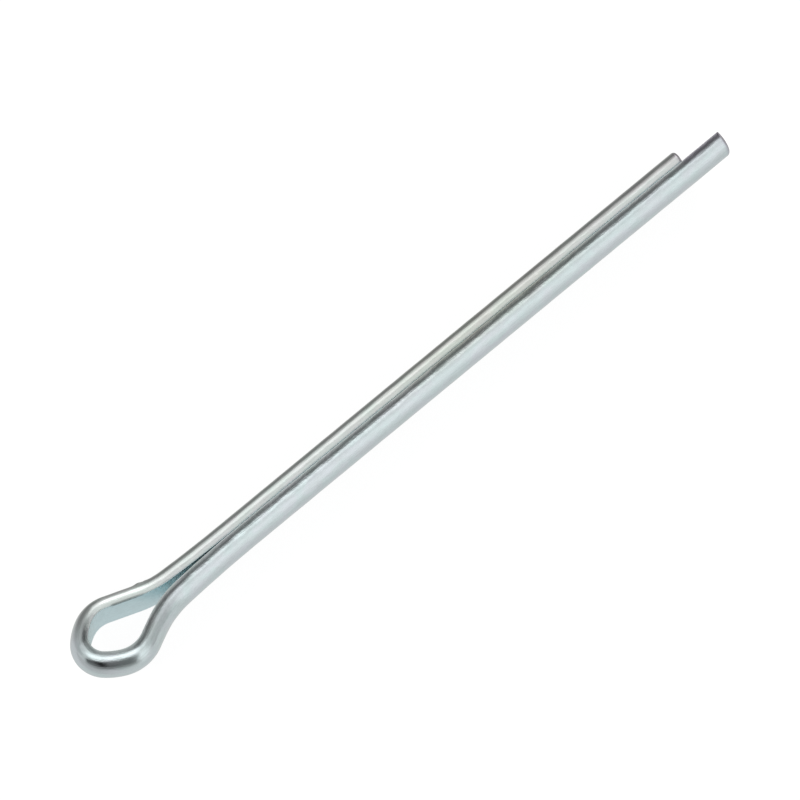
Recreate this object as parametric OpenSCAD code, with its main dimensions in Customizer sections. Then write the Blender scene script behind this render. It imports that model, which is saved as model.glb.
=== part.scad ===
// Cotter pin: one length of half-round steel wire, folded flat side to flat side
// round an open eye. It lies as it rests, eye plane level, legs along +X.
// The origin is on the shank's axis, where both legs first run parallel.

/* [Wire] */
// Diameter of the round shank that the two half-round legs make together
shank_d = 5.7; // [4:0.1:6.5]
// Slit between the flat sides of the closed legs
leg_gap = 0.2; // [0.1:0.02:0.4]
// Radius rolled onto the two long corners of the flat side
corner_r = 0.28; // [0.2:0.02:1]

/* [Legs] */
// Reach of the short leg, from the outside of the eye to its tip
short_reach = 119.9; // [60:0.1:160]
// How much further the long leg reaches
leg_step = 7.1; // [2:0.1:12]
// Radius worn onto the rim of each sheared end
rim_r = 0.5; // [0.1:0.05:0.8]

/* [Eye end] */
// Inside radius of the quarter bend at the end of the eye
end_r = 2.4; // [1.5:0.1:4]

/* [Eye side of the long leg] */
// Inside radius of the flatter flank
long_flank_r = 8.6; // [6:0.1:14]
// Turn of the flank
long_flank_turn = 18; // [6:0.5:22]
// Inside radius of the shoulder
long_shoulder_r = 4.6; // [3:0.1:5]
// Slope of the flare that runs back to the shank
long_flare = 25.7; // [18:0.1:28]
// Radius of the neck bend, at the flat side
long_neck_r = 18.5; // [8:0.5:24]
// Slope at which the neck bend gives way to the long closing bend
long_closing_turn = 3.5; // [1:0.1:4]

/* [Eye side of the short leg] */
// Inside radius of the flatter flank
short_flank_r = 7.8; // [5:0.1:14]
// Turn of the flank
short_flank_turn = 16.5; // [5:0.5:22]
// Inside radius of the shoulder
short_shoulder_r = 4.1; // [3:0.1:5]
// Slope of the flare that runs back to the shank
short_flare = 21.1; // [16:0.1:28]
// Radius of the neck bend, at the flat side
short_neck_r = 18; // [8:0.5:24]
// Slope at which the neck bend gives way to the long closing bend
short_closing_turn = 2.8; // [1:0.1:4]

/* [Neck] */
// Radius of the closing bends that bring the legs parallel
closing_r = 230; // [100:2:300]

/* [Hidden] */
$fn = 96;

shank_r = shank_d / 2;
half_gap = leg_gap / 2;
wire_t = shank_r - half_gap;

// The end bend is a quarter turn, half of it on either side
end_turn = 45;

// Centre of a rolled corner, seen from the shank's axis. The corner's circle
// pokes out of the round side by corner_proud, so that the two meet at a true
// edge and not in a sliver.
corner_proud = 0.004;
corner_run = shank_r - corner_r + corner_proud;
corner_x = corner_r + half_gap;
corner_z = sqrt(corner_run * corner_run - corner_x * corner_x);

// A bend's travel along the heading it leaves or joins, and across it
function along(r, turn) = r * sin(turn);
function across(r, turn) = r * (1 - cos(turn));

// Travel of a bend that starts at one heading and ends at another: [x, y] with
// headings counted from the far side of the eye, towards the legs and outwards
function swing(r, from, to) = r * [cos(from) - cos(to), sin(to) - sin(from)];

// End of the shoulder, from the end of the eye
function shoulder_end(flank_r, flank_turn, shoulder_r, flare) =
    swing(end_r, 0, end_turn)
    + swing(flank_r, end_turn, end_turn + flank_turn)
    + swing(shoulder_r, end_turn + flank_turn, 90 + flare);

// Neck and closing bend together, from the flare to the straight leg: [along, across]
function neck(r, flare, closing_turn) = [
    along(r, flare) - along(r, closing_turn) + along(closing_r, closing_turn),
    across(r, flare) - across(r, closing_turn) + across(closing_r, closing_turn)
];

// The flare is as long as it takes to come down to the neck
function flare_length(shoulder, neck, flare) =
    (shoulder.y - half_gap - neck.y) / sin(flare);

long_shoulder = shoulder_end(long_flank_r, long_flank_turn, long_shoulder_r, long_flare);
long_neck = neck(long_neck_r, long_flare, long_closing_turn);
long_flare_l = flare_length(long_shoulder, long_neck, long_flare);
long_leg_from = long_shoulder.x + long_flare_l * cos(long_flare) + long_neck.x;

short_shoulder = shoulder_end(short_flank_r, short_flank_turn, short_shoulder_r, short_flare);
short_neck = neck(short_neck_r, short_flare, short_closing_turn);
short_flare_l = flare_length(short_shoulder, short_neck, short_flare);
short_leg_from = short_shoulder.x + short_flare_l * cos(short_flare) + short_neck.x;

// The flat line at the end of the eye, behind the origin
eye_end = max(long_leg_from, short_leg_from);

// Straight legs, from the end of their bends to their tips
short_leg = short_reach - wire_t - short_leg_from;
long_leg = short_reach + leg_step - wire_t - long_leg_from;

// Half-round section: flat side on the line x = 0, round side towards +x and
// concentric with the shank. Every second piece is fuller by a hair all round,
// so that neighbours meet on one clean face.
hair = 0.002;

module section(fuller = 0) {
    far = 2 * shank_d;
    ray = far / corner_run * [corner_x, corner_z];
    intersection() {
        translate([-half_gap, 0]) circle(r = shank_r + fuller);
        union() {
            polygon([
                [-fuller, -corner_z], [corner_r, -corner_z],
                [corner_r + ray.x, -corner_z - ray.y], [far, -corner_z - ray.y],
                [far, corner_z + ray.y], [corner_r + ray.x, corner_z + ray.y],
                [corner_r, corner_z], [-fuller, corner_z]
            ]);
            for (side = [-1, 1])
                translate([corner_r, side * corner_z]) circle(r = corner_r + fuller);
        }
    }
}

// The wire is laid bend after bend: each piece starts at the origin heading
// along +X, round side to the right, and carries what follows it to its end.

// Moves what follows round a bend to the left
module turned(r, turn) {
    translate([0, r, 0]) rotate([0, 0, turn]) translate([0, -r, 0]) children();
}

// A section swept round to the left: a little too far, then cut square where
// the next piece starts, so that the two meet face to face
module swept(r, turn) {
    over = 2;
    difference() {
        translate([0, r, 0]) rotate([0, 0, -90])
            rotate_extrude(angle = turn + over / r * 180 / PI)
                translate([r, 0]) children();
        turned(r, turn)
            translate([0, -shank_d, -shank_d]) cube([2 * over, 2 * shank_d, 2 * shank_d]);
    }
}

// A bend to the left, round side outwards
module bend(r, turn, fuller = 0) {
    swept(r, turn) section(fuller);
    turned(r, turn) children();
}

// A bend to the right, round side inwards
module back_bend(r, turn, fuller = 0) {
    mirror([0, 1, 0]) swept(r, turn) mirror([1, 0]) section(fuller);
    mirror([0, 1, 0]) turned(r, turn) mirror([0, 1, 0]) children();
}

// A straight stretch
module straight(length, fuller = 0) {
    rotate([90, 0, 90]) linear_extrude(length) mirror([1, 0]) section(fuller);
    translate([length, 0, 0]) children();
}

// The straight leg, its sheared end rounded at the rim. The rounding pokes a
// little past the round side and the end, and so meets both at an edge.
module leg(length) {
    rim_proud = rim_r / 25;
    difference() {
        straight(length);
        translate([length - rim_r + rim_proud, half_gap, 0]) rotate([0, 90, 0])
            rotate_extrude() difference() {
                translate([shank_r - rim_r + rim_proud, 0]) square(2 * rim_r);
                translate([shank_r - rim_r + rim_proud, 0]) circle(r = rim_r);
            }
    }
}

// One side of the pin, from the end bend to the tip of its leg
module side(flank_r, flank_turn, shoulder_r, flare, flare_l, neck_r, closing_turn, leg_l) {
    translate([end_r, 0, 0]) rotate([0, 0, -90 + end_turn]) translate([0, -end_r, 0])
        bend(flank_r, flank_turn, hair)
        bend(shoulder_r, 90 - end_turn - flank_turn + flare)
        straight(flare_l, hair)
        back_bend(neck_r, flare - closing_turn)
        back_bend(closing_r, closing_turn, hair)
        leg(leg_l);
}

module cotter_pin() {
    color("silver")
    translate([-eye_end, 0, 0]) {
        translate([end_r, 0, 0]) rotate([0, 0, 180 - end_turn])
            rotate_extrude(angle = 2 * end_turn) translate([end_r, 0]) section();
        side(long_flank_r, long_flank_turn, long_shoulder_r, long_flare, long_flare_l,
             long_neck_r, long_closing_turn, long_leg);
        mirror([0, 1, 0])
            side(short_flank_r, short_flank_turn, short_shoulder_r, short_flare,
                 short_flare_l, short_neck_r, short_closing_turn, short_leg);
    }
}

cotter_pin();
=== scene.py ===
"""A cotter pin on a pale floor: one folded length of half-round wire with a bright zinc finish.

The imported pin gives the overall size. The wire is laid again here, bend after bend, with the
waviness, marks and sheared ends of a real one, and takes a drawn and plated finish that follows it.
"""

import logging
import math
from dataclasses import dataclass, field
from enum import Enum

import bpy
import numpy as np
from mathutils import Matrix, Vector


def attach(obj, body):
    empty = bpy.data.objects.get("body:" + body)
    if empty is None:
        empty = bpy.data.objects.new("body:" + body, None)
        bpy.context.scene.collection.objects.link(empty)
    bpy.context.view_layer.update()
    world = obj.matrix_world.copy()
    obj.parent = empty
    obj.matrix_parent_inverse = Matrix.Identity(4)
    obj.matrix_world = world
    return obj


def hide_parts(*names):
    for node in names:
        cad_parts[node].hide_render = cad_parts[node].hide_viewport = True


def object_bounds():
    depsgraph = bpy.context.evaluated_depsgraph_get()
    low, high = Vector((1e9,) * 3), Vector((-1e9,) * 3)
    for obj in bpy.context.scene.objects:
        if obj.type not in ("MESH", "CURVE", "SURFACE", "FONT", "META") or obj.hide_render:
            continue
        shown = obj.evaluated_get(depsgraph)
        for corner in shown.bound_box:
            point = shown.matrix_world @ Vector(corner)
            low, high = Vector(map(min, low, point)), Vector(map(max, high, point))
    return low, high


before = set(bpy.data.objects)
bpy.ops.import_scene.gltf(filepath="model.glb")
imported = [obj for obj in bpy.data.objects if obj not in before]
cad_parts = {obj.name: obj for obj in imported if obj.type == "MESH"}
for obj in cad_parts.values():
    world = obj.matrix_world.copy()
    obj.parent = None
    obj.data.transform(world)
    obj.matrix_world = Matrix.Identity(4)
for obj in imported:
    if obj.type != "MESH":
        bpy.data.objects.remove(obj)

NODE = "cotter_pin"
BODY = "root"
MM = 0.001

CAD_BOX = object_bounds()

Colour = tuple[float, float, float]  # linear red, green and blue
Edge = tuple[float, float]  # the two values between which something comes or goes
NOISE_MEAN = 0.5  # what the Noise node's factor swings about
WHITE = (1.0, 1.0, 1.0)

log = logging.getLogger("cotter_pin")


# ------------------------------------------------------------------ shape


@dataclass(frozen=True)
class Section:
    """The half-round section of the wire, in millimetres.

    Outward goes from the flat side, at 0, to the crown, and up is the eye's axis. The round side
    is concentric with the shank that the two closed legs make. Flattening is its height over a
    true half round's.
    """

    shank_d: float = 5.7
    flattening: float = 0.99
    leg_gap: float = 0.02
    corner_r: float = 0.10
    round_points: int = 52
    corner_points: int = 9
    flat_points: int = 16

    @property
    def shank_r(self) -> float:
        """Radius of the closed shank."""
        return self.shank_d / 2

    @property
    def half_gap(self) -> float:
        """Distance from the shank's axis to the flat side."""
        return self.leg_gap / 2

    @property
    def thickness(self) -> float:
        """Thickness of the wire, from the flat side to the crown."""
        return self.shank_r - self.half_gap

    def outline(self) -> np.ndarray:
        """Points round the section, from the middle of the flat side and back to it.

        Returns:
            An array of [outward, up] points. The first point isn't repeated at the end.
        """
        run = self.shank_r - self.corner_r
        corner_x = self.corner_r + self.half_gap
        corner_z = math.sqrt(run * run - corner_x * corner_x)
        lean = math.atan2(corner_z, corner_x)
        flat = np.linspace(0, corner_z, self.flat_points // 2 + 1)[:-1]
        corner = np.linspace(math.pi, lean, self.corner_points)
        crown = np.linspace(lean, -lean, self.round_points)[1:-1]
        rise = np.stack([np.zeros_like(flat), flat], 1)
        upper = [self.corner_r, corner_z] + self.corner_r * np.stack(
            [np.cos(corner), np.sin(corner)], 1
        )
        bulge = [-self.half_gap, 0] + self.shank_r * np.stack([np.cos(crown), np.sin(crown)], 1)
        lower = upper[::-1] * [1, -1]
        fall = rise[:0:-1] * [1, -1]
        return np.concatenate([rise, upper, bulge, lower, fall]) * [1, self.flattening]


@dataclass(frozen=True)
class EyeSide:
    """One side of the eye and its neck. Radii are at the flat side, in millimetres."""

    flank_r: float
    flank_turn: float
    shoulder_r: float
    flare: float
    neck_r: float
    closing_turn: float


@dataclass(frozen=True)
class Stretch:
    """A piece of the wire's line: a straight, or a bend to the left, at the flat side."""

    length: float
    turn: float = 0.0

    @staticmethod
    def bend(radius: float, degrees: float) -> "Stretch":
        """A bend of a radius and a turn. A turn under zero goes to the right."""
        turn = math.radians(degrees)
        return Stretch(radius * abs(turn), turn)

    def travel(self, heading: float, share: np.ndarray | float = 1.0) -> np.ndarray:
        """Where the line has got to after shares of the stretch's length.

        Args:
            heading: The line's heading where the stretch starts.
            share: Shares of the length, from 0 to 1.

        Returns:
            The [x, y] steps from the stretch's start.
        """
        share = np.asarray(share, float)
        if not self.turn:
            reach = share * self.length
            return np.stack([reach * math.cos(heading), reach * math.sin(heading)], -1)
        radius = self.length / self.turn
        there = heading + share * self.turn
        return radius * np.stack(
            [np.sin(there) - math.sin(heading), math.cos(heading) - np.cos(there)], -1
        )


def whole_travel(stretches: list[Stretch], heading: float) -> np.ndarray:
    """The step that stretches make together.

    Args:
        stretches: The stretches, one after another.
        heading: The line's heading where the first starts.

    Returns:
        The [x, y] step.
    """
    whole = np.zeros(2)
    for stretch in stretches:
        whole += stretch.travel(heading)
        heading += stretch.turn
    return whole


@dataclass(frozen=True)
class Wave:
    """A low wave that rolling left along the wire.

    It has a length in millimetres, the turns that it makes round the section, and the angle in
    radians that it starts at.
    """

    length: float
    turns: float
    start: float


@dataclass(frozen=True)
class Mark:
    """A low swelling or hollow on the wire's skin, in millimetres.

    Its place is the distance along the flat side from the middle of the eye's end, which is under
    zero towards the short leg, and the angle round the section from the crown, up positive.
    """

    along: float
    angle: float
    half_length: float
    half_width: float
    height: float


@dataclass
class FoldedWire:
    """The pin's wire: its section, its line round the eye and the marks that forming left.

    Sizes are in millimetres. The closing radius is that of the long bend after each neck, and the
    leg step is how far the long leg's tip lies past the short one's. The short tip leans by a
    slope that fades out over its reach, and keeps its place at the pivot, a share of the thickness
    as the middle of the end faces is. Rolled is how deep the waves of the skin go.
    """

    section: Section = field(default_factory=Section)
    end_r: float = 2.305
    end_turn: float = 90.0
    short_side: EyeSide = EyeSide(7.69, 16.5, 3.99, 21.1, 18.1, 2.8)
    long_side: EyeSide = EyeSide(8.505, 18.0, 4.505, 25.7, 18.59, 3.5)
    closing_r: float = 230.0
    leg_step: float = 7.1
    rim_r: float = 0.5
    rim_rings: int = 7
    cap_rings: int = 7
    ring_step: float = 0.4
    ring_turn: float = math.radians(2.5)
    cap_middle: float = 0.42
    dish_depth: float = 0.05
    short_tip_lean: float = 0.26
    short_tip_reach: float = 3.0
    short_tip_pivot: float = 0.15
    rolled: float = 0.010
    waves: tuple[Wave, ...] = (
        Wave(9.7, 1.0, 0.4),
        Wave(6.1, -2.0, 1.9),
        Wave(4.3, 2.0, 4.0),
        Wave(3.1, -1.0, 2.6),
    )
    marks: tuple[Mark, ...] = (
        Mark(-13.2, 26.0, 0.70, 0.45, 0.18),
        Mark(-14.5, 30.0, 0.50, 0.30, 0.09),
    )

    def curved(self, side: EyeSide) -> list[Stretch]:
        """Bends one side of the eye and its neck.

        Args:
            side: The side.

        Returns:
            Its stretches, from the middle of the end bend to where its leg starts.
        """
        half_end = self.end_turn / 2
        eye = [
            Stretch.bend(self.end_r, half_end),
            Stretch.bend(side.flank_r, side.flank_turn),
            Stretch.bend(side.shoulder_r, 90 - half_end - side.flank_turn + side.flare),
        ]
        neck = [
            Stretch.bend(side.neck_r, side.closing_turn - side.flare),
            Stretch.bend(self.closing_r, -side.closing_turn),
        ]
        flare = math.radians(side.flare)
        drop = whole_travel(eye, -math.pi / 2)[1] + whole_travel(neck, flare)[1]
        return [*eye, Stretch(-(drop + self.section.half_gap) / math.sin(flare)), *neck]

    def lay(self, low_x: float, high_x: float) -> "WireLine":
        """Lays the line from the short leg's tip, round the eye, to the long leg's tip.

        Args:
            low_x: The outside of the eye.
            high_x: The long leg's tip.

        Returns:
            The sampled line.
        """
        eye_x = low_x + self.section.thickness
        short, long = self.curved(self.short_side), self.curved(self.long_side)
        reach = [high_x - eye_x - whole_travel(s, -math.pi / 2)[0] for s in (short, long)]
        short_leg, long_leg = Stretch(reach[0] - self.leg_step), Stretch(reach[1])
        route = [short_leg, *short[::-1], *long, long_leg]
        point = np.array([high_x - self.leg_step, self.section.half_gap])
        heading, along = math.pi, 0.0
        points, headings, alongs = [point[None]], [np.array([heading])], [np.zeros(1)]
        for stretch in route:
            share = self.shares(stretch, stretch is short_leg, stretch is long_leg)
            points.append(point + stretch.travel(heading, share))
            headings.append(heading + share * stretch.turn)
            alongs.append(along + share * stretch.length)
            point, heading, along = points[-1][-1], headings[-1][-1], alongs[-1][-1]
        middle = short_leg.length + sum(s.length for s in short)
        return WireLine(
            np.concatenate(points), np.concatenate(headings), np.concatenate(alongs) - middle
        )

    def shares(self, stretch: Stretch, starts: bool, ends: bool) -> np.ndarray:
        """Where the rings of a stretch lie, closer together at a sheared end.

        Args:
            stretch: The stretch.
            starts: Whether it starts at a sheared end.
            ends: Whether it ends at one.

        Returns:
            Shares of its length, without the 0 where it starts.
        """
        long_steps = math.ceil(stretch.length / self.ring_step)
        turned_steps = math.ceil(abs(stretch.turn) / self.ring_turn)
        steps = max(long_steps, turned_steps)
        even = np.linspace(0, 1, steps + 1)[1:]
        if not (starts or ends):
            return even
        rim = self.rim_r / stretch.length
        close = rim * (1 - np.cos(np.linspace(0, math.pi / 2, self.rim_rings)))
        rest = np.linspace(rim, 1, steps + 1)
        whole = np.concatenate([close[:-1], rest])
        return whole[1:] if starts else (1 - whole[::-1])[1:]


@dataclass
class WireLine:
    """The line of the wire's flat side, as rings see it."""

    points: np.ndarray
    headings: np.ndarray
    along: np.ndarray

    @property
    def to_tip(self) -> np.ndarray:
        """Distance of each ring from the nearer end of the wire."""
        return np.minimum(self.along - self.along[0], self.along[-1] - self.along)


@dataclass
class WireSkin:
    """The surface swept along the wire's line, with its sheared end faces."""

    wire: FoldedWire
    line: WireLine

    def rings(self) -> np.ndarray:
        """The section at each ring, with a worn rim at both ends.

        Returns:
            An array of [outward, up] outlines.
        """
        section, rim = self.wire.section, self.wire.rim_r
        outline = section.outline()
        rings = np.repeat(outline[None], len(self.line.along), 0)
        into = np.clip(self.line.to_tip, 0, rim)
        limit = section.shank_r - rim + np.sqrt(rim**2 - (rim - into) ** 2)
        centred = rings + [section.half_gap, 0]
        radial = np.linalg.norm(centred, axis=2)
        shrink = np.minimum(1, limit[:, None] / radial)
        rings = centred * shrink[..., None] - [section.half_gap, 0]
        rings[..., 0] = np.maximum(rings[..., 0], 0)
        return rings

    def swelling(self, rings: np.ndarray) -> np.ndarray:
        """How far the skin stands out of the true section.

        Args:
            rings: The section at each ring.

        Returns:
            The distance at each point of each ring.
        """
        angle = np.degrees(np.arctan2(rings[..., 1], rings[..., 0] + self.wire.section.half_gap))
        along = self.line.along[:, None]
        turn = np.radians(angle)
        waves = sum(
            np.sin(2 * math.pi * along / wave.length + wave.turns * turn + wave.start)
            for wave in self.wire.waves
        )
        out = self.wire.rolled * (waves / len(self.wire.waves) - 1)
        for mark in self.wire.marks:
            far = ((along - mark.along) / mark.half_length) ** 2
            aside = np.radians(angle - mark.angle) * self.wire.section.shank_r / mark.half_width
            out += mark.height * np.exp(-far - aside**2)
        return out

    def place(self, rings: np.ndarray, order: np.ndarray, ahead: np.ndarray) -> np.ndarray:
        """Places outlines on the line.

        Args:
            rings: An array of [outward, up] outlines.
            order: The ring of the line that each outline belongs to.
            ahead: How far the points lie ahead of their ring.

        Returns:
            An array of [x, y, z] points.
        """
        heading = self.line.headings[order][:, None]
        point = self.line.points[order][:, None]
        x = point[..., 0] + rings[..., 0] * np.sin(heading) + ahead * np.cos(heading)
        y = point[..., 1] - rings[..., 0] * np.cos(heading) + ahead * np.sin(heading)
        return np.stack([x, y, rings[..., 1]], -1)

    def lean(self, rings: np.ndarray) -> np.ndarray:
        """How far each point lies ahead of its ring, as the short tip isn't sheared square.

        Args:
            rings: An array of [outward, up] outlines, one for each ring or one for all.

        Returns:
            The distances, for each ring of the line.
        """
        wire = self.wire
        into = np.clip(1 - (self.line.along - self.line.along[0]) / wire.short_tip_reach, 0, 1)
        outward = rings[..., 0] - wire.section.thickness * wire.short_tip_pivot
        return -wire.short_tip_lean * outward * into[:, None] ** 2

    def dish(self, outline: np.ndarray) -> np.ndarray:
        """How far a sheared end lies back from its rim at each point."""
        share = np.clip(outline[:, 0] / self.wire.section.thickness, 0, 1)
        return self.wire.dish_depth * 4 * share * (1 - share)

    def cap(self, rings: np.ndarray, tip: int) -> tuple[np.ndarray, np.ndarray]:
        """The points of a sheared end: rings that close in on its middle, and the middle.

        Args:
            rings: The outlines of all the rings.
            tip: The number of the ring that the end closes, which is the first or the last.

        Returns:
            The points, and their coordinates on the wire as drawn.
        """
        wire = self.wire
        inward = 1 if tip == 0 else -1
        middle = np.array([wire.section.thickness * wire.cap_middle, 0])
        shares = 1 - np.arange(1, wire.cap_rings) / wire.cap_rings
        inner = middle + (rings[tip] - middle) * shares[:, None, None]
        outline = np.concatenate([inner.reshape(-1, 2), middle[None]])
        ahead = inward * self.dish(outline) + self.lean(outline[None])[tip]
        points = self.place(outline[None], np.array([tip]), ahead[None])[0]
        return points, np.column_stack([self.line.along[tip] + ahead, outline])

    def cap_faces(self, rim: np.ndarray, start: int) -> list[tuple[int, ...]]:
        """The faces of a sheared end.

        Args:
            rim: The numbers of the points on its rim.
            start: The number of its own first point.

        Returns:
            The faces, as they run at the long leg's tip.
        """
        count = (self.wire.cap_rings - 1) * len(rim)
        inner = np.arange(start, start + count).reshape(-1, len(rim))
        last = inner[-1].tolist()
        fan = [(*edge, start + count) for edge in zip(last, last[1:] + last[:1])]
        return quads(np.concatenate([rim[None], inner])) + fan

    def build(self, name: str) -> bpy.types.Object:
        """Builds the mesh, with the wire's own coordinates on it.

        Args:
            name: The piece's name.

        Returns:
            The new object.
        """
        rings = self.rings()
        count, around = rings.shape[:2]
        normals = outline_normals(rings[count // 2])
        swollen = rings + normals * self.swelling(rings)[..., None]
        body = self.place(swollen, np.arange(count), self.lean(rings))
        along = np.repeat(self.line.along[:, None, None], around, 1)
        drawn = np.concatenate([along, rings], -1)
        caps = [self.cap(rings, tip) for tip in (0, count - 1)]
        points = np.concatenate([body.reshape(-1, 3), *(cap[0] for cap in caps)])
        coordinates = np.concatenate([drawn.reshape(-1, 3), *(cap[1] for cap in caps)])
        grid = np.arange(count * around).reshape(count, around)
        short_end = self.cap_faces(grid[0], grid.size)
        long_end = self.cap_faces(grid[-1], grid.size + len(caps[0][0]))
        faces = quads(grid) + [face[::-1] for face in short_end] + long_end
        mesh = bpy.data.meshes.new(name)
        mesh.from_pydata((points * MM).tolist(), [], faces)
        mesh.polygons.foreach_set("use_smooth", [True] * len(mesh.polygons))
        put_on_points(mesh, "as_drawn", coordinates)
        put_on_points(mesh, "sheared", (np.arange(len(points)) >= grid.size).astype(float))
        mesh.update()
        piece = bpy.data.objects.new(name, mesh)
        bpy.context.scene.collection.objects.link(piece)
        return piece


def put_on_points(mesh: bpy.types.Mesh, name: str, values: np.ndarray) -> None:
    """Puts a number or a vector on each point of a mesh.

    Args:
        mesh: The mesh.
        name: The attribute's name.
        values: An array of numbers, or of vectors.
    """
    kind, key = ("FLOAT_VECTOR", "vector") if values.ndim > 1 else ("FLOAT", "value")
    attribute = mesh.attributes.new(name, kind, "POINT")
    attribute.data.foreach_set(key, values.astype(np.float32).ravel())


def outline_normals(outline: np.ndarray) -> np.ndarray:
    """The directions in which a closed outline swells.

    Args:
        outline: An array of its points.

    Returns:
        The outward normal at each point.
    """
    run = np.roll(outline, -1, 0) - np.roll(outline, 1, 0)
    normals = np.stack([-run[:, 1], run[:, 0]], 1)
    normals /= np.linalg.norm(normals, axis=1, keepdims=True)
    centre = outline.mean(0)
    outside = np.sign(np.sum(normals * (outline - centre), 1).mean())
    return normals * outside


def quads(grid: np.ndarray) -> list[tuple[int, ...]]:
    """Faces between neighbouring rings.

    Args:
        grid: The numbers of the points, with a row for each ring.

    Returns:
        The faces.
    """
    ahead = np.roll(grid, -1, 1)
    faces = np.stack([grid[:-1], ahead[:-1], ahead[1:], grid[1:]], -1)
    return [tuple(face) for face in faces.reshape(-1, 4).tolist()]


# ------------------------------------------------------------------ shader maths


class Value:
    """A socket of a node tree, used in expressions: each operator adds a Math node."""

    def __init__(self, nodes: "Nodes", socket: bpy.types.NodeSocket) -> None:
        """Wraps a socket.

        Args:
            nodes: The tree it belongs to.
            socket: The output socket.
        """
        self.nodes = nodes
        self.socket = socket

    def math(self, operation: str, *others: "Value | float", clamp: bool = False) -> "Value":
        """Adds a Math node.

        Args:
            operation: What it does.
            others: The values or numbers that follow this one.
            clamp: Whether the result is held between 0 and 1.

        Returns:
            The result.
        """
        settings = {"operation": operation, "use_clamp": clamp}
        values = dict(enumerate((self, *others)))
        return self.nodes.add("ShaderNodeMath", settings, values)

    def __add__(self, other: "Value | float") -> "Value":
        """This value plus another."""
        return self.math("ADD", other)

    def __radd__(self, other: float) -> "Value":
        """A number plus this value."""
        return self.math("ADD", other)

    def __sub__(self, other: "Value | float") -> "Value":
        """This value less another."""
        return self.math("SUBTRACT", other)

    def __rsub__(self, other: float) -> "Value":
        """A number less this value."""
        return self * -1 + other

    def __mul__(self, other: "Value | float") -> "Value":
        """This value times another."""
        return self.math("MULTIPLY", other)

    def __rmul__(self, other: float) -> "Value":
        """A number times this value."""
        return self.math("MULTIPLY", other)

    def within(self) -> "Value":
        """This value, held between 0 and 1."""
        return self.math("ADD", 0.0, clamp=True)

    def rise(self, low: float, high: float) -> "Value":
        """A soft step from 0 to 1.

        Args:
            low: Where this value is when the step starts.
            high: Where it is when the step ends.

        Returns:
            The share, from 0 to 1.
        """
        settings = {"interpolation_type": "SMOOTHSTEP"}
        values = {"Value": self, "From Min": low, "From Max": high}
        return self.nodes.add("ShaderNodeMapRange", settings, values)

    def span(self, low: float, high: float, soft_low: float, soft_high: float) -> "Value":
        """1 between two edges and 0 outside, with each edge softened either way.

        Args:
            low: The lower edge.
            high: The upper edge.
            soft_low: How far the lower edge is softened either way.
            soft_high: How far the upper edge is.

        Returns:
            The share, from 0 to 1.
        """
        into = self.rise(low - soft_low, low + soft_low)
        return into * (1 - self.rise(high - soft_high, high + soft_high))


class Cover(Enum):
    """What a colour does to the one under it, as the Mix node names it."""

    HIDES = "MIX"
    TINTS = "MULTIPLY"


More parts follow.
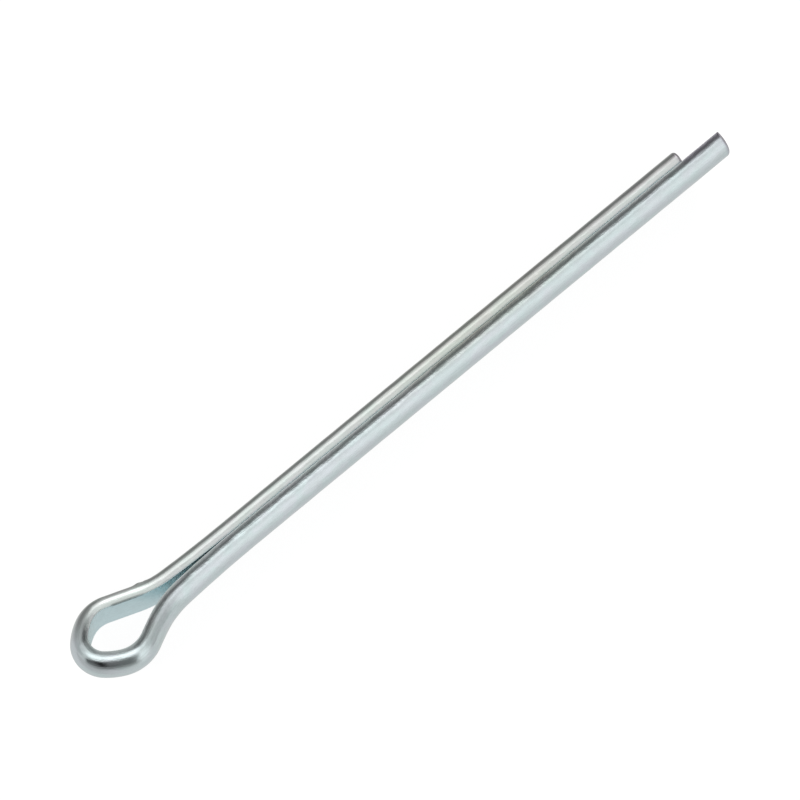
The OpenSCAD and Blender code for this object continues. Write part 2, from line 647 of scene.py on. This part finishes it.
class Nodes:
    """Builds one node tree."""

    def __init__(self, tree: bpy.types.NodeTree) -> None:
        """Empties a tree, to fill it again."""
        self.tree = tree
        tree.nodes.clear()

    def add(
        self,
        kind: str,
        settings: dict[str, object] | None = None,
        values: dict[str | int, object] | None = None,
        output: str | int = 0,
    ) -> Value:
        """Adds a node, sets it up and wires it.

        Args:
            kind: The node's type.
            settings: Its settings, which are set before its sockets.
            values: The values or links of its sockets, by name, identifier or number.
            output: The output that is handed back.

        Returns:
            The chosen output.
        """
        node = self.tree.nodes.new(kind)
        for name, setting in (settings or {}).items():
            setattr(node, name, setting)
        for name, value in (values or {}).items():
            socket = self.socket(node.inputs, name)
            if isinstance(value, Value):
                self.tree.links.new(value.socket, socket)
            else:
                socket.default_value = value
        outputs = node.outputs
        return Value(self, self.socket(outputs, output) if len(outputs) else None)

    @staticmethod
    def socket(
        sockets: bpy.types.NodeInputs | bpy.types.NodeOutputs, name: str | int
    ) -> bpy.types.NodeSocket:
        """Finds a socket.

        Args:
            sockets: A node's inputs or outputs.
            name: The socket's identifier, name or number.

        Returns:
            The socket.
        """
        if isinstance(name, int):
            return sockets[name]
        return next((s for s in sockets if s.identifier == name), None) or sockets[name]

    def split(self, vector: Value) -> tuple[Value, Value, Value]:
        """Takes a vector apart.

        Args:
            vector: The vector.

        Returns:
            Its x, y and z.
        """
        first = self.add("ShaderNodeSeparateXYZ", None, {0: vector}, "X")
        outputs = first.socket.node.outputs
        return first, Value(self, outputs["Y"]), Value(self, outputs["Z"])

    def scaled(self, vector: Value, by: tuple[float, float, float]) -> Value:
        """A vector with each part times a number of its own."""
        settings = {"operation": "MULTIPLY"}
        return self.add("ShaderNodeVectorMath", settings, {0: vector, 1: by})

    def join(self, x: Value | float, y: Value | float, z: Value | float) -> Value:
        """A vector of three parts."""
        return self.add("ShaderNodeCombineXYZ", None, {0: x, 1: y, 2: z})

    def dot(self, vector: Value, axis: Vector) -> Value:
        """A vector's share along an axis."""
        settings = {"operation": "DOT_PRODUCT"}
        return self.add("ShaderNodeVectorMath", settings, {0: vector, 1: tuple(axis)}, "Value")

    def mix(
        self, share: Value | float, under: object, over: object, cover: Cover = Cover.HIDES
    ) -> Value:
        """Puts one colour over another.

        Args:
            share: How much of the upper one, from 0 to 1.
            under: A colour, or a value that holds one.
            over: The upper one.
            cover: What the upper one does.

        Returns:
            The colour.
        """
        settings = {"data_type": "RGBA", "blend_type": cover.value}
        values = {"Factor_Float": share, "A_Color": coloured(under), "B_Color": coloured(over)}
        return self.add("ShaderNodeMix", settings, values, "Result_Color")

    def glow(self, kind: str, colour: object, strength: Value | float) -> Value:
        """An Emission or Background node of a colour and a strength."""
        return self.add(kind, None, {"Color": coloured(colour), "Strength": strength})

    def either(self, share: Value, first: Value, second: Value) -> Value:
        """A Mix Shader node: the first shader where the share is 0, the second where it is 1."""
        return self.add("ShaderNodeMixShader", None, {0: share, 1: first, 2: second})

    def noise(self, vector: Value, detail: float, rough: float = 0.5, scale: float = 1.0) -> Value:
        """Smooth noise round NOISE_MEAN over a vector."""
        values = {"Vector": vector, "Scale": scale, "Detail": detail, "Roughness": rough}
        return self.add("ShaderNodeTexNoise", {"noise_dimensions": "3D"}, values, 0)


def coloured(colour: object) -> object:
    """A colour as a socket takes it: a triple gets its alpha, and anything else stays."""
    return (*colour, 1.0) if isinstance(colour, tuple) and len(colour) == 3 else colour


# ------------------------------------------------------------------ finish


class Stretching(Enum):
    """How a pattern is drawn out along the wire: its length over its width."""

    ROUND = 1.0
    PATCHY = 2.2
    STREAKED = 9.0
    DRAWN = 60.0


class WirePlace:
    """Where a point is on the wire: along it, outward, up, and whether on a sheared end."""

    def __init__(self, nodes: Nodes) -> None:
        """Reads what the mesh carries.

        Args:
            nodes: The tree.
        """
        read = "ShaderNodeAttribute"
        self.whole = nodes.add(read, {"attribute_name": "as_drawn"}, None, "Vector")
        self.sheared = nodes.add(read, {"attribute_name": "sheared"}, None, "Fac")
        self.along, self.outward, self.up = nodes.split(self.whole)


@dataclass(frozen=True)
class Pattern:
    """A noise pattern on the wire, and what it does to the finish.

    Its size is across the wire, in millimetres. Shade, dulling and relief are how much the noise
    adds to the colour's level, the roughness and the height.
    """

    size: float
    stretching: Stretching
    detail: float = 2.0
    rough: float = 0.5
    shade: float = 0.0
    dulling: float = 0.0
    relief: float = 0.0

    def lay(self, nodes: Nodes, place: WirePlace) -> Value:
        """Makes the noise.

        Args:
            nodes: The tree.
            place: Where a point is on the wire.

        Returns:
            The noise, round NOISE_MEAN.
        """
        along = 1 / (self.size * self.stretching.value)
        scaled = nodes.scaled(place.whole, (along, 1 / self.size, 1 / self.size))
        return nodes.noise(scaled, self.detail, self.rough)


@dataclass(frozen=True)
class PaintedLight:
    """A place on the wire with painted light or shade, with soft edges in millimetres.

    Along the wire it comes and goes. Outward, from the flat side to the crown, it starts and
    stops. It lies above an edge in height. What is left out has no edge.
    """

    colour: Colour
    strength: float
    comes: Edge | None = None
    goes: Edge | None = None
    starts: Edge | None = None
    stops: Edge | None = None
    above: Edge | None = None
    cover: Cover = Cover.HIDES
    on_ends: bool = True

    def spread(self, nodes: Nodes, tone: Value, place: WirePlace) -> Value:
        """Paints the light or shade over a colour.

        Args:
            nodes: The tree.
            tone: The colour so far.
            place: Where a point is on the wire.

        Returns:
            The colour with the painted light or shade.
        """
        share = self.strength
        for value, low, high in (
            (place.along, self.comes, self.goes),
            (place.outward, self.starts, self.stops),
            (place.up, self.above, None),
        ):
            if low:
                share = value.rise(*low) * share
            if high:
                share = (1 - value.rise(*high)) * share
        if not self.on_ends:
            share = share * (1 - place.sheared)
        return nodes.mix(share, tone, self.colour, self.cover)


@dataclass(frozen=True)
class ZincPlate:
    """Clear zinc plate on drawn steel wire. Its places are in millimetres on the wire.

    Colours: the plate's teal and lavender patches with clear clouds over them; the flat side, made
    lighter and bluer than the plate as painted light for light bounced round the eye and between
    the legs; and the steel of the sheared ends; then those of the painted light and shade. The
    clouds' share is how far they hide the patches. The worn edge is the corner beside the flat
    side, which is duller.
    """

    wire_ends: Edge
    clear: Colour = (0.755, 0.818, 0.825)
    teal: Colour = (0.722, 0.820, 0.826)
    lavender: Colour = (0.757, 0.800, 0.836)
    # Flat side: the plate's colour made lighter and bluer, partly painted light for light bounced
    # round the eye and between the legs.
    flat: Colour = (0.775, 0.930, 0.960)
    cut: Colour = (0.56, 0.59, 0.61)
    # Painted shade: a darker colour on the rims of both tips and along the long leg's edge near its
    # tip.
    painted_tip_shade: Colour = (0.50, 0.47, 0.56)
    # Painted dark reflection along the eye's inner rim.
    painted_rim_reflection: Colour = (0.24, 0.28, 0.28)
    # Painted warm light: a warm tint over a stretch of each leg.
    painted_warm_light: Colour = (0.975, 0.965, 0.920)
    # Painted dark reflection along the short leg's upper outer side.
    painted_short_leg_reflection: Colour = (0.40, 0.40, 0.42)
    # Painted dark reflection along the long leg's edge by the slit.
    painted_slit_reflection: Colour = (0.43, 0.43, 0.37)
    patches: Pattern = Pattern(1.5, Stretching.PATCHY)
    patch_edge: Edge = (0.36, 0.64)
    clouds: Pattern = Pattern(1.1, Stretching.PATCHY, 3.0, 0.6, shade=-0.12, dulling=0.10)
    cloud_edge: Edge = (0.35, 0.65)
    cloud_share: float = 0.45
    waves: Pattern = Pattern(1.6, Stretching.PATCHY, 1.0, relief=1.6)
    grain: Pattern = Pattern(0.22, Stretching.STREAKED, shade=0.15, dulling=0.10, relief=0.3)
    flecks: Pattern = Pattern(0.26, Stretching.PATCHY, shade=0.15, relief=0.35)
    lines: Pattern = Pattern(0.12, Stretching.DRAWN, 1.0, relief=0.12)
    peel: Pattern = Pattern(0.16, Stretching.ROUND, 1.0, relief=0.1)
    flat_edge: Edge = (0.01, 0.07)
    roughness: float = 0.10
    worn_edge: Edge = (0.02, 0.10)
    worn_roughness: float = 0.34
    shear_scale: tuple[float, float, float] = (2.0, 7.0, 0.7)
    shear_detail: float = 3.0
    shear_cover: Edge = (0.75, 1.25)
    shear_roughness: float = 0.2
    shear_relief: float = 0.5
    bump_depth: float = 0.00003

    def painted_lights(self) -> tuple[PaintedLight, ...]:
        """The painted light and shade, from the lowest to the topmost.

        Returns:
            A painted warm light on a stretch of each leg, painted dark reflections along the short
            leg's upper outer side and along the long leg's edge by the slit, painted shade on both
            tips and along the long leg's edge near its tip, and a painted dark reflection at the
            eye's inner rim.
        """
        low, high = self.wire_ends
        middle = {"comes": (54, 78), "goes": (87, 107), "above": (0, 1)}
        tip = {"strength": 0.75, "on_ends": False}
        return (
            # Painted warm light on a stretch of the short leg, and on the long leg's upper side by
            # the slit.
            PaintedLight(self.painted_warm_light, 1.0, comes=(-108, -84), goes=(-78, -46), cover=Cover.TINTS),
            PaintedLight(self.painted_warm_light, 1.0, stops=(1.0, 1.8), cover=Cover.TINTS, **middle),
            # Painted dark reflection along the short leg's upper outer side, fading towards the
            # eye.
            PaintedLight(
                self.painted_short_leg_reflection,
                0.75,
                goes=(-120, -50),
                starts=(0.55, 1.35),
                stops=(1.5, 2.3),
                above=(0, 1),
            ),
            # Painted dark reflection along the long leg's edge by the slit.
            PaintedLight(self.painted_slit_reflection, 0.4, stops=(0.15, 0.55), **middle),
            # Painted shade on the rims of both tips.
            PaintedLight(self.painted_tip_shade, goes=(low + 0.1, low + 0.9), **tip),
            PaintedLight(self.painted_tip_shade, comes=(high - 0.9, high - 0.1), **tip),
            # Painted shade along the long leg's upper edge by the slit, over its last few
            # millimetres.
            PaintedLight(
                self.painted_tip_shade,
                0.8,
                comes=(high - 8.2, high - 6.4),
                stops=(0.3, 1.3),
                above=(1.4, 2.6),
                on_ends=False,
            ),
            # Painted dark reflection along the eye's inner rim on the short leg's side.
            PaintedLight(
                self.painted_rim_reflection,
                0.7,
                comes=(-13.8, -11.4),
                goes=(-8.5, -7.7),
                stops=(0.12, 0.42),
                above=(2.3, 2.7),
            ),
        )

    def dress(self, piece: bpy.types.Object) -> None:
        """Gives a piece this finish.

        Args:
            piece: The piece.
        """
        material = bpy.data.materials.new("zinc_plate_on_drawn_wire")
        material.use_nodes = True
        nodes = Nodes(material.node_tree)
        place = WirePlace(nodes)
        clouds = self.clouds.lay(nodes, place)
        others = (self.waves, self.grain, self.flecks, self.lines, self.peel)
        laid = [(self.clouds, clouds), *((p, p.lay(nodes, place)) for p in others)]
        shear = nodes.noise(nodes.scaled(place.whole, self.shear_scale), self.shear_detail)

        shade = 1 + sum(p.shade * (noise - NOISE_MEAN) for p, noise in laid if p.shade)
        grey = nodes.join(shade, shade, shade)
        tone = nodes.mix(1.0, self.plate(nodes, place, clouds), grey, Cover.TINTS)
        # Paint the light and shade over the plate's colour.
        for painted in self.painted_lights():
            tone = painted.spread(nodes, tone, place)
        least, most = self.shear_cover
        bare = place.sheared * (least + (most - least) * shear).within()
        tone = nodes.mix(bare, tone, self.cut)

        rough = self.roughness + self.shear_roughness * place.sheared
        rough = rough + (1 - place.outward.rise(*self.worn_edge)) * self.worn_roughness
        rough = rough + sum(p.dulling * (noise - NOISE_MEAN) for p, noise in laid if p.dulling)
        height = sum(p.relief * noise for p, noise in laid if p.relief)
        height = height + self.shear_relief * place.sheared * shear
        values = {"Strength": 1.0, "Distance": self.bump_depth, "Height": height}
        bump = nodes.add("ShaderNodeBump", None, values, "Normal")
        values = {"Base Color": tone, "Metallic": 1.0, "Roughness": rough, "Normal": bump}
        surface = nodes.add("ShaderNodeBsdfPrincipled", None, values, "BSDF")
        nodes.add("ShaderNodeOutputMaterial", None, {"Surface": surface})
        piece.data.materials.append(material)

    def plate(self, nodes: Nodes, place: WirePlace, clouds: Value) -> Value:
        """The colour of the plate itself, with the flat side made lighter and bluer as painted
        light.

        Args:
            nodes: The tree.
            place: Where a point is on the wire.
            clouds: The noise of the clouds.

        Returns:
            The colour.
        """
        patches = self.patches.lay(nodes, place).rise(*self.patch_edge)
        tone = nodes.mix(patches, self.teal, self.lavender)
        tone = nodes.mix(clouds.rise(*self.cloud_edge) * self.cloud_share, tone, self.clear)
        # Painted light: the flat side, lighter and bluer than the plate.
        return nodes.mix(1 - place.outward.rise(*self.flat_edge), tone, self.flat)


# ------------------------------------------------------------------ setting


@dataclass(frozen=True)
class Panel:
    """A soft-edged panel of light in the tent, or with a level under 0 something dark in it.

    A direction has two angles, in degrees. Ahead is how far it leans from straight up, away from
    the viewer, and goes on past 90 down to the table on the far side, or past -90 on the near
    side. Aside is how far it leans to the viewer's right. The panel lies between two angles
    each way, and each edge is softened either way. Its slant is how far the panel shifts back for
    each degree aside.
    """

    name: str
    ahead: tuple[float, float]
    ahead_soft: tuple[float, float]
    aside: tuple[float, float]
    aside_soft: float
    slant: float
    level: float

    def light(self, ahead: Value, aside: Value) -> Value:
        """How much it adds in a direction.

        Args:
            ahead: The direction's angle away from the viewer.
            aside: Its angle to the viewer's right.

        Returns:
            The level there.
        """
        along = (ahead + aside * self.slant).span(*self.ahead, *self.ahead_soft)
        across = aside.span(*self.aside, self.aside_soft, self.aside_soft)
        return along * across * self.level


@dataclass(frozen=True)
class Studio:
    """A white tent with soft lamps, dark gaps between them, and a pale floor."""

    level: float = 0.637
    least_level: float = 0.02
    viewer_azimuth: float = -41.8
    warm: Colour = (1.03, 1.0, 0.955)
    cool: Colour = (0.985, 1.0, 1.0)
    warm_side: tuple[float, float, float] = (0.8, 0.6, 0.0)
    warm_edge: Edge = (0.0, 0.7)
    panels: tuple[Panel, ...] = (
        Panel(
            "overhead softbox",
            ahead=(-33.2, -7.6),
            ahead_soft=(11.2, 11.5),
            aside=(-53.2, 31.4),
            aside_soft=9.6,
            slant=-0.17,
            level=0.72,
        ),
        Panel(
            "its far shoulder",
            ahead=(-13.2, 22.6),
            ahead_soft=(6.0, 4.5),
            aside=(-60.4, -4.5),
            aside_soft=4.9,
            slant=-0.12,
            level=0.19,
        ),
        Panel(
            "camera and viewer",
            ahead=(-87.3, -32.3),
            ahead_soft=(25.0, 13.2),
            aside=(-52.5, 42.3),
            aside_soft=7.6,
            slant=0.24,
            level=-0.47,
        ),
        Panel(
            "darker side of the viewer",
            ahead=(-76.0, -51.0),
            ahead_soft=(15.7, 7.9),
            aside=(-50.0, -4.1),
            aside_soft=5.6,
            slant=0.84,
            level=-0.14,
        ),
        Panel(
            "near softbox",
            ahead=(-52.6, 0.3),
            ahead_soft=(25.5, 26.5),
            aside=(36.6, 68.8),
            aside_soft=13.1,
            slant=0.48,
            level=0.38,
        ),
        Panel(
            "bright edge of the near softbox",
            ahead=(-11.5, -6.5),
            ahead_soft=(2.5, 3.0),
            aside=(20.0, 36.0),
            aside_soft=6.0,
            slant=0.0,
            level=0.12,
        ),
        Panel(
            "gap beyond the overhead softbox",
            ahead=(-18.9, 16.8),
            ahead_soft=(11.4, 12.8),
            aside=(-38.1, -2.3),
            aside_soft=11.3,
            slant=0.8,
            level=-0.55,
        ),
        Panel(
            "gap over the tips",
            ahead=(-4.6, 66.8),
            ahead_soft=(7.0, 30.0),
            aside=(4.8, 34.6),
            aside_soft=9.2,
            slant=0.15,
            level=-0.48,
        ),
        Panel(
            "lamp in the gap",
            ahead=(25.6, 38.9),
            ahead_soft=(3.0, 14.1),
            aside=(29.6, 34.7),
            aside_soft=11.9,
            slant=1.0,
            level=0.88,
        ),
        Panel(
            "far softbox",
            ahead=(25.9, 117.8),
            ahead_soft=(1.9, 9.5),
            aside=(-15.0, -8.3),
            aside_soft=10.0,
            slant=0.26,
            level=0.32,
        ),
        Panel(
            "bright edge of the far softbox",
            ahead=(62.0, 92.6),
            ahead_soft=(9.1, 14.1),
            aside=(-30.4, -8.7),
            aside_soft=4.1,
            slant=-0.37,
            level=0.53,
        ),
        Panel(
            "middle of the far softbox",
            ahead=(58.0, 84.0),
            ahead_soft=(9.0, 8.0),
            aside=(-19.0, -5.0),
            aside_soft=4.5,
            slant=0.0,
            level=0.28,
        ),
        Panel(
            "far side of the table",
            ahead=(83.0, 132.7),
            ahead_soft=(26.1, 26.6),
            aside=(-55.5, 56.0),
            aside_soft=22.7,
            slant=-0.45,
            level=-0.34,
        ),
        Panel(
            "far edge of the table",
            ahead=(109.0, 143.8),
            ahead_soft=(13.5, 14.5),
            aside=(-64.7, -0.7),
            aside_soft=22.1,
            slant=-0.23,
            level=-0.20,
        ),
        Panel(
            "left wall of the tent",
            ahead=(-55.4, 89.2),
            ahead_soft=(28.6, 18.7),
            aside=(-94.4, -38.9),
            aside_soft=12.4,
            slant=0.22,
            level=-0.18,
        ),
        Panel(
            "wall past the tips",
            ahead=(-32.5, 149.9),
            ahead_soft=(28.3, 12.3),
            aside=(49.3, 98.0),
            aside_soft=11.3,
            slant=0.73,
            level=-0.15,
        ),
        Panel(
            "near side of the table",
            ahead=(-129.0, -62.6),
            ahead_soft=(30.0, 12.1),
            aside=(-95.0, 6.0),
            aside_soft=25.0,
            slant=0.0,
            level=-0.13,
        ),
        Panel(
            "sheen on the near table",
            ahead=(-151.6, -100.5),
            ahead_soft=(30.0, 24.2),
            aside=(48.2, 64.9),
            aside_soft=13.6,
            slant=-0.44,
            level=0.15,
        ),
    )
    floor_radius: float = 1.2
    floor_corners: int = 96
    paper: Colour = (0.80, 0.81, 0.82)
    paper_grain: Colour = (0.7, 0.7, 0.7)
    grain_scale: float = 900.0
    grain_detail: float = 2.0
    grain_share: float = 0.02
    floor_white: float = 1.08
    shadow_line: tuple[float, float] = (-0.02, 0.08)
    shadow_edge: Edge = (0.006, 0.016)
    shadow_share: float = 0.12

    def build(self, bottom: float) -> bpy.types.Object:
        """Lights the scene and lays the floor.

        Args:
            bottom: The height that the pin rests on.

        Returns:
            The floor.
        """
        self.light_tent()
        return self.lay_floor(bottom)

    def light_tent(self) -> None:
        """Makes the world: the tent in every direction, and plain white to the camera."""
        world = bpy.data.worlds.new("studio_tent")
        bpy.context.scene.world = world
        world.use_nodes = True
        nodes = Nodes(world.node_tree)
        direction = nodes.add("ShaderNodeTexCoord", None, None, "Generated")
        turn = math.radians(self.viewer_azimuth)
        right = nodes.dot(direction, Vector((math.cos(turn), math.sin(turn), 0)))
        away = nodes.dot(direction, Vector((-math.sin(turn), math.cos(turn), 0)))
        upward = nodes.dot(direction, Vector((0, 0, 1)))
        ahead = away.math("ARCTAN2", upward) * math.degrees(1)
        aside = right.math("ARCSINE") * math.degrees(1)
        level = self.level
        for panel in self.panels:
            level = panel.light(ahead, aside) + level
        level = level.math("MAXIMUM", self.least_level)
        side = nodes.dot(direction, Vector(self.warm_side)).rise(*self.warm_edge)
        tent = nodes.glow("ShaderNodeBackground", nodes.mix(side, self.cool, self.warm), level)
        white = nodes.glow("ShaderNodeBackground", WHITE, 1.0)
        seen = nodes.add("ShaderNodeLightPath", None, None, "Is Camera Ray")
        nodes.add("ShaderNodeOutputWorld", None, {"Surface": nodes.either(seen, tent, white)})

    def lay_floor(self, bottom: float) -> bpy.types.Object:
        """Lays a round sheet of white paper.

        Args:
            bottom: The height that it lies at.

        Returns:
            The sheet.
        """
        turn = np.linspace(0, 2 * math.pi, self.floor_corners, endpoint=False)
        rim = np.stack([np.cos(turn), np.sin(turn), np.zeros_like(turn)], 1) * self.floor_radius
        mesh = bpy.data.meshes.new("floor")
        mesh.from_pydata(rim.tolist(), [], [list(range(self.floor_corners))])
        mesh.materials.append(self.floor_paper())
        floor = bpy.data.objects.new("floor", mesh)
        floor.location = (0, 0, bottom)
        bpy.context.scene.collection.objects.link(floor)
        return floor

    def floor_paper(self) -> bpy.types.Material:
        """Makes the floor's paper, which is white in view and keeps a little of the pin's shadow.

        Light that comes off the pin goes through it, to the tent, and other light meets the paper.

        Returns:
            The material.
        """
        material = bpy.data.materials.new("floor_paper")
        material.use_nodes = True
        nodes = Nodes(material.node_tree)
        place = nodes.add("ShaderNodeTexCoord", None, None, "Object")
        grain = nodes.noise(place, self.grain_detail, scale=self.grain_scale)
        colour = nodes.mix(self.grain_share * grain, self.paper, self.paper_grain)
        paper = nodes.add("ShaderNodeBsdfDiffuse", None, {"Color": colour})
        white = nodes.glow("ShaderNodeEmission", WHITE, self.floor_white)
        along, across, _ = nodes.split(place)
        low, high = self.shadow_line
        beside = along - along.math("MAXIMUM", low).math("MINIMUM", high)
        away = (beside * beside + across * across).math("SQRT")
        shaded = (1 - away.rise(*self.shadow_edge)) * self.shadow_share
        clear = nodes.add("ShaderNodeBsdfTransparent")
        seen = nodes.add("ShaderNodeLightPath", None, None, "Is Camera Ray")
        glossy = nodes.add("ShaderNodeLightPath", None, None, "Is Glossy Ray")
        in_view = nodes.either(shaded, white, paper)
        shown = nodes.either(seen, nodes.either(glossy, paper, clear), in_view)
        nodes.add("ShaderNodeOutputMaterial", None, {"Surface": shown})
        return material


@dataclass(frozen=True)
class Viewpoint:
    """The camera: a long lens that looks down on the pin from the long leg's side."""

    azimuth: float = -38.180
    elevation: float = 64.751
    roll: float = -4.054
    distance: float = 1.6080
    lens: float = 489.36
    sensor: float = 36.0
    aim_mm: tuple[float, float, float] = (30.569, 0.125, 0.086)

    def build(self) -> bpy.types.Object:
        """Makes the camera and sets it as the scene's.

        Returns:
            The camera.
        """
        azimuth, elevation, roll = map(math.radians, (self.azimuth, self.elevation, self.roll))
        back = Vector(
            (
                math.sin(azimuth) * math.cos(elevation),
                -math.cos(azimuth) * math.cos(elevation),
                math.sin(elevation),
            )
        )
        level = Vector((0, 0, 1)).cross(back).normalized()
        upright = back.cross(level)
        right = level * math.cos(roll) + upright * math.sin(roll)
        up = upright * math.cos(roll) - level * math.sin(roll)
        data = bpy.data.cameras.new("camera")
        data.lens, data.sensor_width = self.lens, self.sensor
        camera = bpy.data.objects.new("camera", data)
        turn = Matrix((right, up, back)).transposed().to_4x4()
        place = Vector(self.aim_mm) * MM + back * self.distance
        camera.matrix_world = Matrix.Translation(place) @ turn
        bpy.context.scene.collection.objects.link(camera)
        bpy.context.scene.camera = camera
        return camera


def main() -> None:
    """Builds the pin and its setting, and reports each piece."""
    logging.basicConfig(level=logging.INFO, format="%(name)s: %(message)s")
    wire = FoldedWire()
    line = wire.lay(CAD_BOX[0].x / MM, CAD_BOX[1].x / MM)
    pin = WireSkin(wire, line).build("cotter_pin_wire")
    ZincPlate(wire_ends=(line.along[0], line.along[-1])).dress(pin)
    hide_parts(NODE)
    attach(pin, BODY)
    log.info("%s: %d faces", pin.name, len(pin.data.polygons))
    floor = Studio().build(CAD_BOX[0].z)
    log.info("%s: laid at %.2f mm", floor.name, CAD_BOX[0].z / MM)
    Viewpoint().build()
    bpy.context.scene.view_settings.view_transform = "Standard"


if __name__ == "__main__":
    main()
